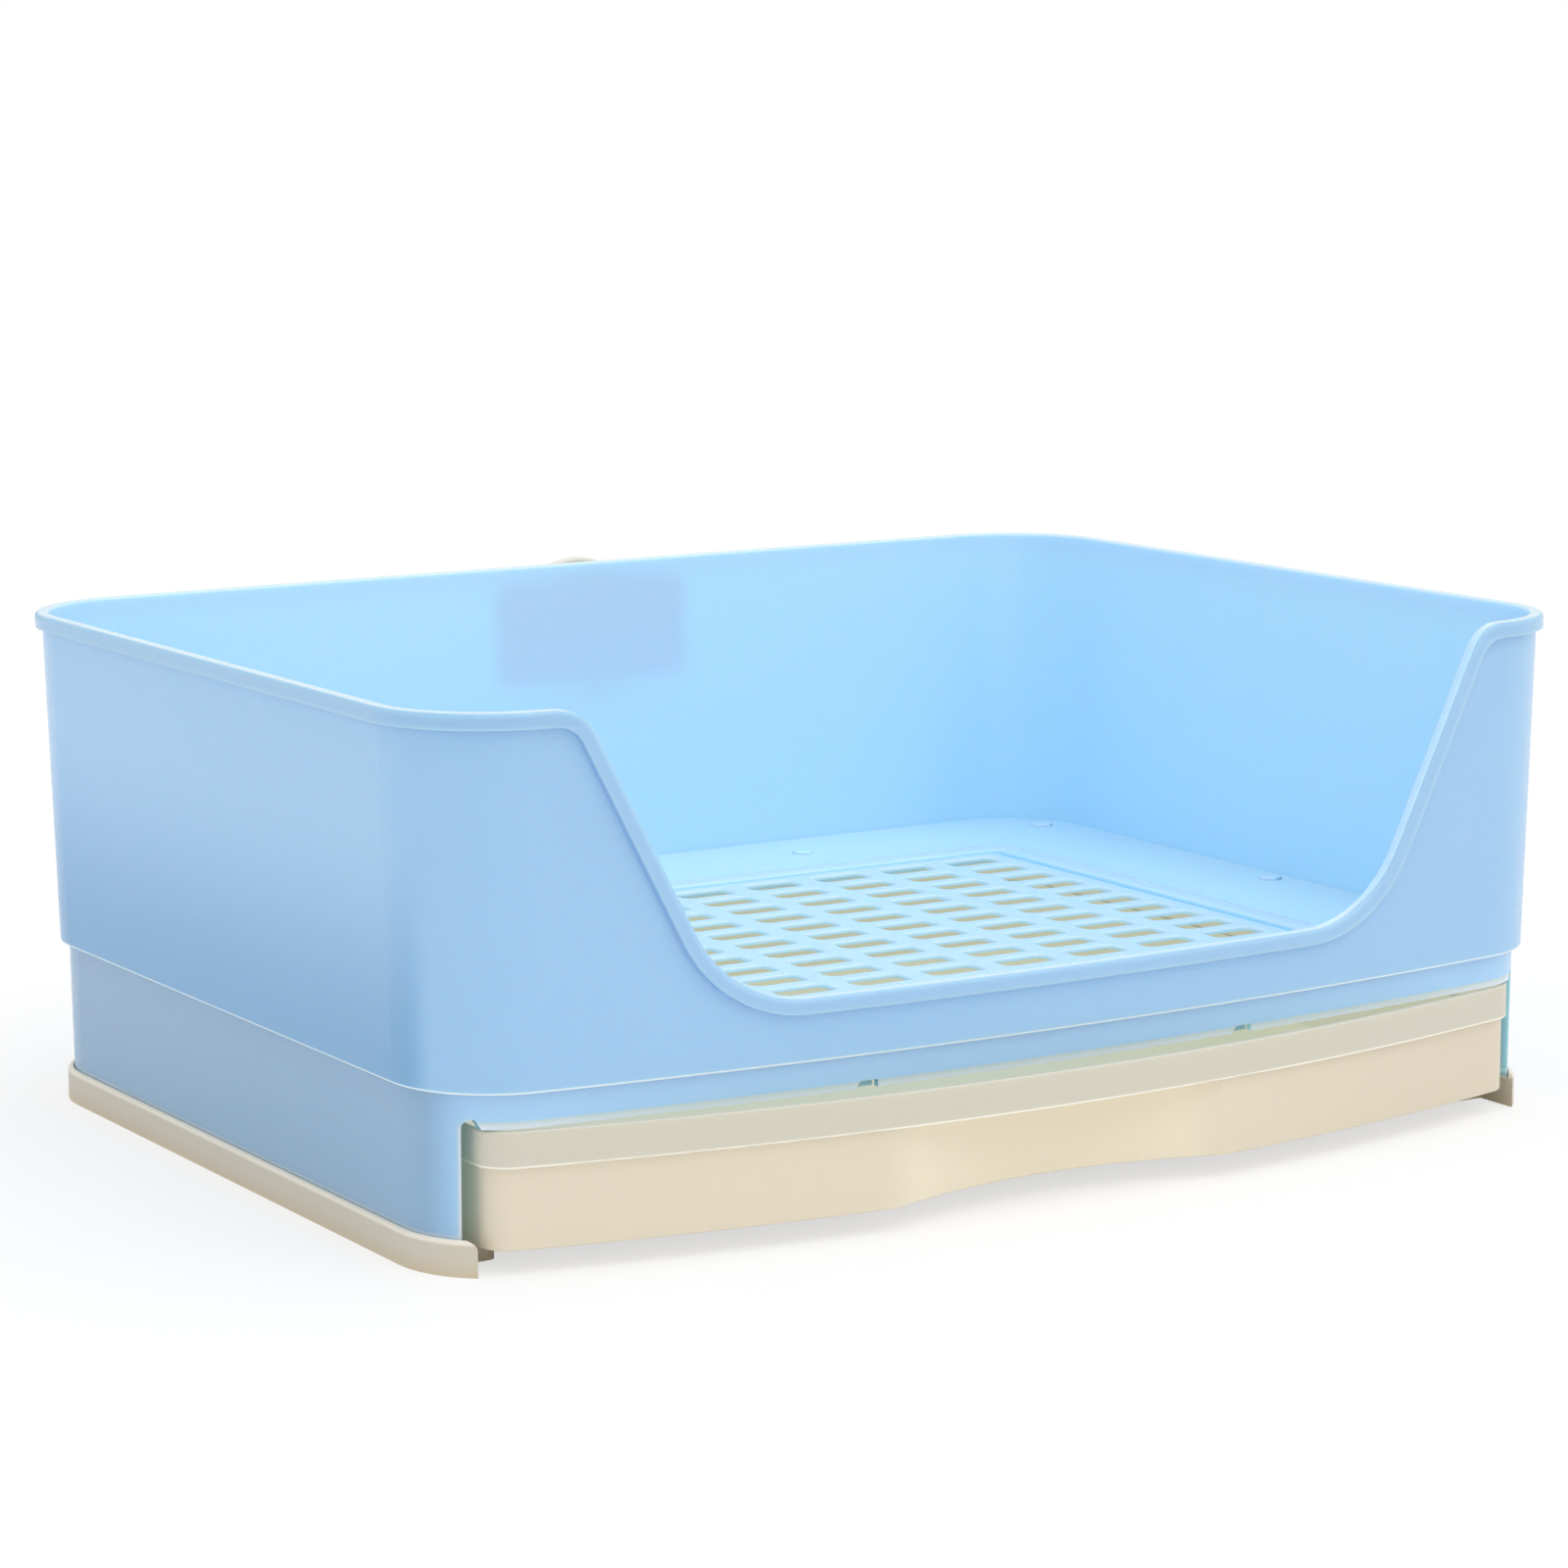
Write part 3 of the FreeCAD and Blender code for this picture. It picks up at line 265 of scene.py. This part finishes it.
housing_plastic, place, facing = new_plastic("blue_housing")
height = place.part(2)
across = abs(place.part(0))
front = facing.part(1).ramp(*FORWARD)
inside = facing.inward(place)
mottle = place.noise(HOUSING_CLOUDS, MOTTLE_DETAIL)
tone = (mottle * HOUSING_MOTTLE).tint(dye(*HOUSING_BLUE), dye(*HOUSING_DEEP))
# Painted light: faces turned to the front are lightened where the drawer and the tub shade them.
tone = (front * FRONT_LIGHT_SHARE).tint(tone, dye(*HOUSING_FRONT_LIT))
tone = inside.tint(tone, dye(*HOUSING_INSIDE))
# Painted reflection and glow: a pale greenish cream strip above the drawer's opening stands in for the cream
# drawer's light, reflected in the blue front and shining across its thin wall.
lintel_reflection = height.ramp(*LINTEL_REFLECTION_BAND) * front * across.ramp(JAMB, JAMB - JAMB_FADE)
tone = (lintel_reflection * LINTEL_REFLECTION_SHARE).tint(tone, dye(*LINTEL_REFLECTED_CREAM))
# Painted highlights: a lit line along the housing's foot edge and lit lines down the opening's jambs.
foot_highlight = height.strip(*HOUSING_FOOT_HIGHLIGHT)
jamb_highlight = across.ramp(*JAMB_HIGHLIGHT) * height.ramp(*JAMB_TOP)
tone = (foot_highlight * FOOT_LIT).most(jamb_highlight * front).tint(tone, dye(*BLUE_LIT))
# Painted glow: inner faces emit a teal glow and front faces a faint blue painted sheen, standing in for light
# that passes the thin wall.
painted_glow = inside.tint(front.tint(BLACK, HOUSING_PAINTED_SHEEN), HOUSING_PAINTED_GLOW)
marks = place.scuffs(BLUE_SCUFFS)
roughness = GLOSS_ROUGH + mottle * ROUGH_DRIFT + marks * GLOSS_WEAR
mould(housing_plastic, tone, roughness, place.noise(BLUE_GRAIN) + marks * GLOSS_RUB, GLOSS_SKIN,
      milk=HOUSING_MILK, milk_tone=BLUE_MILK_TONE, milk_depth=BLUE_MILK_DEPTH, painted_glow=painted_glow)
dress("housing", housing_plastic)


# Surround: the tub, a thin drafted wall under a rolled rim that dips for the entrance, moulded in one
# with the border round the floor. It is the same glossy plastic in a paler blue, and light shines through.

TUB_BLUE = (162, 197, 226)
TUB_PALE = (168, 202, 230)
TUB_INSIDE_LIT = (198, 227, 255)
TUB_LOW_SHADE = (126, 172, 204)
RIM_BLUE = (156, 192, 220)
BORDER_LIT_BLUE = (192, 226, 255)
TUB_PAINTED_GLOW = (0.0, 0.0, 0.05, 1.0)
BORDER_PAINTED_GLOW = (0.02, 0.06, 0.11, 1.0)
TUB_CLOUDS = 5.0
TUB_MOTTLE = 0.5
TUB_FOOT = 0.0534
TUB_FOOT_HIGHLIGHT = (TUB_FOOT - 0.0008, TUB_FOOT - 0.0003, TUB_FOOT + 0.0005, TUB_FOOT + 0.001)
SIDEWAYS = (0.85, 0.995)
SIDE_SHADE = (0.13, TUB_FOOT + 0.004)
BORDER_ZONE = (TUB_FOOT + 0.012, TUB_FOOT + 0.006)
LEVEL = (0.8, 0.98)
RIM_ZONE = (TUB_FOOT + 0.012, TUB_FOOT + 0.016)
RIM_LIT = 0.7
RIM_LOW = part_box("surround")[1].z - 0.0049
RIM_BAND = (RIM_LOW, RIM_LOW + 0.0004)
RIM_OUTER = (0.0, 0.02)
RIM_SHARE = 0.5
TUB_MILK = 0.8

tub_plastic, place, facing = new_plastic("pale_blue_tub")
height = place.part(2)
mottle = place.noise(TUB_CLOUDS, MOTTLE_DETAIL)
tone = (mottle * TUB_MOTTLE).tint(dye(*TUB_BLUE), dye(*TUB_PALE))
# Painted shade: the sides darken towards the foot, standing in for less light and darker reflections low
# down.
side = abs(facing.part(0)).ramp(*SIDEWAYS)
tone = (side * height.ramp(*SIDE_SHADE)).tint(tone, dye(*TUB_LOW_SHADE))
# Painted light: inward faces take a brighter blue and the upward border a brighter blue still, standing in
# for light inside the tub from above and across its walls.
inside = facing.inward(place)
border = facing.upward() * height.ramp(*BORDER_ZONE)
tone = border.tint(inside.tint(tone, dye(*TUB_INSIDE_LIT)), dye(*BORDER_LIT_BLUE))
rim_band = height.ramp(*RIM_BAND) * facing.outward(place).ramp(*RIM_OUTER)
tone = (rim_band * RIM_SHARE).tint(tone, dye(*RIM_BLUE))
# Painted highlights: a lit line along the tub's lower edge and lit upward faces on the rim.
rim_top_highlight = facing.part(2).ramp(*LEVEL) * height.ramp(*RIM_ZONE)
tone = height.strip(*TUB_FOOT_HIGHLIGHT).most(rim_top_highlight * RIM_LIT).tint(tone, dye(*BLUE_LIT))
# Painted glow: inward faces and the border emit a faint blue, standing in for light that passes the walls.
painted_glow = border.tint(inside.tint(BLACK, TUB_PAINTED_GLOW), BORDER_PAINTED_GLOW)
marks = place.scuffs(BLUE_SCUFFS)
roughness = GLOSS_ROUGH + mottle * ROUGH_DRIFT + marks * GLOSS_WEAR
mould(tub_plastic, tone, roughness, place.noise(BLUE_GRAIN) + marks * GLOSS_RUB, GLOSS_SKIN,
      milk=TUB_MILK, milk_tone=BLUE_MILK_TONE, milk_depth=BLUE_MILK_DEPTH, painted_glow=painted_glow)
dress("surround", tub_plastic)


# Floor grid: a loose blue plate of rounded bars, moulded in the tub's plastic. It drops into the seat in
# the border, and droppings fall through its slots into the drawer.

GRID_AQUA = (196, 230, 252)
SLOT_LIGHT_AQUA = (178, 226, 236)
GRID_PAINTED_GLOW = (0.0, 0.02, 0.11, 1.0)
GRID_CLOUDS = 12.0
GRID_MOTTLE = 0.5
GRID_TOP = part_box("floor_grid")[1].z
SLOT_LIGHT_ZONE = (GRID_TOP - 0.0004, GRID_TOP - 0.0016)
SLOT_LIGHT_SHARE = 0.6
GRID_ROUGH = 0.24
GRID_GRAIN = 600.0
GRID_MILK_TONE = (0.6, 0.95, 1.0)

grid_plastic, place, _ = new_plastic("aqua_grid")
mottle = place.noise(GRID_CLOUDS, MOTTLE_DETAIL)
# Random mottle, whose paler end reuses the tub's painted-light inside blue.
tone = (mottle * GRID_MOTTLE).tint(dye(*GRID_AQUA), dye(*TUB_INSIDE_LIT))
# Painted light and shade: the slots' walls below the bar tops take a darker, greener aqua, standing in for
# the light and shade seen down the slots.
tone = (place.part(2).ramp(*SLOT_LIGHT_ZONE) * SLOT_LIGHT_SHARE).tint(tone, dye(*SLOT_LIGHT_AQUA))
# Painted glow: the grid emits a faint blue, standing in for light that passes the plate.
mould(grid_plastic, tone, GRID_ROUGH + mottle * ROUGH_DRIFT, place.noise(GRID_GRAIN), GLOSS_SKIN,
      milk=TUB_MILK, milk_tone=GRID_MILK_TONE, milk_depth=BLUE_MILK_DEPTH, painted_glow=GRID_PAINTED_GLOW)
dress("floor_grid", grid_plastic)


# Drawer: the litter pan, in the cream plastic of the foot. A proud lip runs round its top and a finger
# scoop is pressed into its bowed front. It slides on the base tray's deck.

CREAM = (227, 217, 199)
CREAM_WARM = (231, 213, 182)
CREAM_SHADE = (208, 196, 174)
LIP_SHADED_CREAM = (208, 205, 191)
SCOOP_BOUNCE_LIGHT = (248, 236, 212)
DRAWER_INSIDE = (134, 127, 116)
DRAWER_PAINTED_GLOW = (0.39, 0.41, 0.3, 1.0)
DRAWER_CLOUDS = 6.0
SHADE_ZONE = (0.02, 0.18)
SHADE_SHARE = 0.35
LIP_FOOT = 0.0315
LIP_ZONE = (LIP_FOOT + 0.0002, LIP_FOOT - 0.0002)
LIP_SHADE_SHARE = 0.8
LIP_HIGHLIGHT = LIP_FOOT + 0.0003
LIP_HIGHLIGHT_HALF = (0.0006, 0.0003)
SCOOP_MIDDLE = -0.005
SCOOP_HALF = (0.065, 0.045)
SCOOP_BOUNCE_SHARE = 0.65
PAN_FLOOR = (0.02, 0.015)
DRAWER_GRAIN = 800.0
DRAWER_MILK = 0.4
CREAM_MILK_TONE = (1.0, 0.9, 0.7)
CREAM_MILK_DEPTH = 0.004

drawer_plastic, place, facing = new_plastic("cream_drawer")
height = place.part(2)
mottle = place.noise(DRAWER_CLOUDS, MOTTLE_DETAIL)
tone = (mottle * CREAM_MOTTLE).tint(dye(*CREAM), dye(*CREAM_WARM))
tone = (place.part(0).ramp(*SHADE_ZONE) * SHADE_SHARE).tint(tone, dye(*CREAM_SHADE))
below = height.ramp(*LIP_ZONE)
# Painted light: the finger scoop is lightened and warmed, standing in for light bouncing between its cream
# faces.
scoop = abs(place.part(0) - SCOOP_MIDDLE).ramp(*SCOOP_HALF) * below
tone = (scoop * SCOOP_BOUNCE_SHARE).tint(tone, dye(*SCOOP_BOUNCE_LIGHT))
# Painted shade and reflection: the lip is darker and greener, as under the housing's overhang and facing its
# blue.
tone = ((1 - below) * LIP_SHADE_SHARE).tint(tone, dye(*LIP_SHADED_CREAM))
# Painted highlight: a lit line along the lip's lower edge.
tone = abs(height - LIP_HIGHLIGHT).ramp(*LIP_HIGHLIGHT_HALF).tint(tone, dye(*CREAM_LIT))
inside = facing.inward(place).most(facing.upward() * height.ramp(*PAN_FLOOR))
# Painted glow: the pan's inside takes a darker body colour and emits a warm glow, standing in for light that
# reaches it from outside.
tone = inside.tint(tone, dye(*DRAWER_INSIDE))
painted_glow = inside.tint(BLACK, DRAWER_PAINTED_GLOW)
marks = place.scuffs(CREAM_SCUFFS)
roughness = SATIN_ROUGH + mottle * ROUGH_DRIFT + marks * SATIN_WEAR
mould(drawer_plastic, tone, roughness, place.noise(DRAWER_GRAIN) + marks * SATIN_RUB, SATIN_SKIN,
      milk=DRAWER_MILK, milk_tone=CREAM_MILK_TONE, milk_depth=CREAM_MILK_DEPTH, painted_glow=painted_glow)
dress("drawer", drawer_plastic)


# Cage fixing: a plate with a threaded stud, a pressing disc and a wing nut, in ivory plastic with a
# smooth finish. The plate is fixed to the rear wall, and the nut draws the disc against the cage wires.

IVORY = (230, 230, 224)
IVORY_WARM = (228, 222, 204)
IVORY_CLOUDS = 30.0
IVORY_MOTTLE = 0.4
IVORY_GRAIN = 900.0
IVORY_ROUGH = 0.3
IVORY_DRIFT = 0.1
IVORY_SKIN = 0.00003
IVORY_MILK = 0.3
PLATE_THICK = 0.0025
PLATE_CORNER = 0.003
PLATE_EDGE = 0.0006
STUD_CREST = 0.004
STUD_ROOT = 0.0033
TIP_SHARE = 0.85
THREAD_PITCH = 0.0025
CORNER_STEPS = 8
TURN_STEPS = 40
PITCH_STEPS = 8

ivory_plastic, place, _ = new_plastic("ivory_fixing")
mottle = place.noise(IVORY_CLOUDS, MOTTLE_DETAIL)
tone = (mottle * IVORY_MOTTLE).tint(dye(*IVORY), dye(*IVORY_WARM))
mould(ivory_plastic, tone, IVORY_ROUGH + mottle * IVORY_DRIFT, place.noise(IVORY_GRAIN), IVORY_SKIN,
      milk=IVORY_MILK, milk_tone=CREAM_MILK_TONE, milk_depth=CREAM_MILK_DEPTH)
dress("clamp_disc", ivory_plastic)
dress("wing_nut", ivory_plastic)

plate_low, plate_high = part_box("stud_plate")
stud_x = (plate_low.x + plate_high.x) / 2
stud_z = (plate_low.z + plate_high.z) / 2
face = plate_low.y + PLATE_THICK
tip = plate_high.y


def plate_ring(form, depth, inset):
    """A rounded rectangle of the plate's outline, moved inward, at a depth along Y."""
    corner = PLATE_CORNER - inset
    reach_x = (plate_high.x - plate_low.x) / 2 - PLATE_CORNER
    reach_z = (plate_high.z - plate_low.z) / 2 - PLATE_CORNER
    ring = []
    for quarter, (side_x, side_z) in enumerate(((1, 1), (-1, 1), (-1, -1), (1, -1))):
        for step in range(CORNER_STEPS + 1):
            angle = math.radians(90 * quarter + 90 * step / CORNER_STEPS)
            x = stud_x + side_x * reach_x + corner * math.cos(angle)
            z = stud_z + side_z * reach_z + corner * math.sin(angle)
            ring.append(form.verts.new((x, depth, z)))
    return ring


def thread_ring(form, depth):
    """One turn round the stud: the radius climbs and falls along the helix and tapers in at the tip."""
    ring = []
    for step in range(TURN_STEPS):
        turn = step / TURN_STEPS
        rise = abs(2 * ((depth / THREAD_PITCH - turn) % 1) - 1)
        thread = STUD_ROOT + (STUD_CREST - STUD_ROOT) * rise
        radius = min(thread, STUD_ROOT * TIP_SHARE + (tip - depth))
        angle = 2 * math.pi * turn
        x = stud_x + radius * math.cos(angle)
        ring.append(form.verts.new((x, depth, stud_z + radius * math.sin(angle))))
    return ring


def skin(form, rings):
    """Joins rings in turn with quads and closes both ends."""
    for one, other in zip(rings, rings[1:]):
        count = len(one)
        for i in range(count):
            form.faces.new((one[i], one[(i + 1) % count], other[(i + 1) % count], other[i]))
    form.faces.new(rings[0][::-1])
    form.faces.new(rings[-1])


stud_form = bmesh.new()
edges = ((plate_low.y, 0), (face - PLATE_EDGE, 0), (face, PLATE_EDGE))
skin(stud_form, [plate_ring(stud_form, depth, inset) for depth, inset in edges])
rows = round((tip - face) / THREAD_PITCH * PITCH_STEPS)
root = face - PLATE_EDGE / 2
skin(stud_form, [thread_ring(stud_form, root + (tip - root) * row / rows) for row in range(rows + 1)])
bmesh.ops.recalc_face_normals(stud_form, faces=stud_form.faces)
stud_mesh = bpy.data.meshes.new("threaded_stud_plate")
stud_form.to_mesh(stud_mesh)
stud_form.free()
stud_mesh.materials.append(ivory_plastic)
stud_plate = bpy.data.objects.new("threaded_stud_plate", stud_mesh)
bpy.context.scene.collection.objects.link(stud_plate)
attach(stud_plate, "tub")
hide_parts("stud_plate")


# Studio: a pale floor, a high key of soft light from above and behind, and the photograph's camera. The
# floor is lit paper for the camera's own rays, so it is nearly white and still holds the tray's shadow.

FLOOR_HALF = 15.0
PAPER_WHITE = (250, 250, 250)
PAPER_GLOW = 0.65
WHITE = (1, 1, 1, 1)
WORLD_LEVEL = 0.8
KEY_LEVEL = 1.0
KEY_WIDTH = 60
KEY_TURN = (20, 10, 0)
AIM = Vector((-0.00065, -0.00705, 0.10365))
AZIMUTH = -31.712
ELEVATION = 9.466
ROLL = -0.279
DISTANCE = 1.47836
SENSOR = 36.0
FOCAL_LENGTH = 103.125
LENS_SHIFT = 0.0034

floor_mesh = bpy.data.meshes.new("studio_floor")
corners = [(x * FLOOR_HALF, y * FLOOR_HALF, 0) for x, y in ((-1, -1), (1, -1), (1, 1), (-1, 1))]
floor_mesh.from_pydata(corners, [], [(0, 1, 2, 3)])
floor = bpy.data.objects.new("studio_floor", floor_mesh)
bpy.context.scene.collection.objects.link(floor)
paper = bpy.data.materials.new("white_paper")
start = new_nodes(paper)
rays = start.add("ShaderNodeLightPath", {}, {}, "Is Camera Ray")
matt = start.add("ShaderNodeBsdfDiffuse", {}, {"Color": dye(*PAPER_WHITE)})
white = start.add("ShaderNodeEmission", {}, {"Color": WHITE, "Strength": 1.0})
both = start.add("ShaderNodeMixShader", {}, {0: rays * PAPER_GLOW, 1: matt, 2: white})
start.add("ShaderNodeOutputMaterial", {}, {"Surface": both})
floor_mesh.materials.append(paper)

world = bpy.data.worlds.new("studio")
bpy.context.scene.world = world
start = new_nodes(world)
rays = start.add("ShaderNodeLightPath", {}, {}, "Is Camera Ray")
sky = start.add("ShaderNodeBackground", {}, {"Color": WHITE, "Strength": WORLD_LEVEL})
blank = start.add("ShaderNodeBackground", {}, {"Color": WHITE, "Strength": 1.0})
both = start.add("ShaderNodeMixShader", {}, {0: rays, 1: sky, 2: blank})
start.add("ShaderNodeOutputWorld", {}, {"Surface": both})

key = bpy.data.lights.new("overhead_key", "SUN")
key.energy = KEY_LEVEL
key.angle = math.radians(KEY_WIDTH)
key_lamp = bpy.data.objects.new("overhead_key", key)
key_lamp.rotation_euler = [math.radians(angle) for angle in KEY_TURN]
bpy.context.scene.collection.objects.link(key_lamp)

lens = bpy.data.cameras.new("camera")
lens.sensor_width = SENSOR
lens.lens = FOCAL_LENGTH
lens.shift_y = LENS_SHIFT
camera = bpy.data.objects.new("camera", lens)
turn = Matrix.Rotation(math.radians(AZIMUTH), 4, "Z")
tilt = Matrix.Rotation(math.radians(90 - ELEVATION), 4, "X")
roll = Matrix.Rotation(math.radians(ROLL), 4, "Z")
rotation = turn @ tilt @ roll
camera.matrix_world = Matrix.Translation(AIM + rotation @ Vector((0, 0, DISTANCE))) @ rotation
bpy.context.scene.collection.objects.link(camera)
bpy.context.scene.camera = camera
bpy.context.scene.view_settings.view_transform = "Standard"
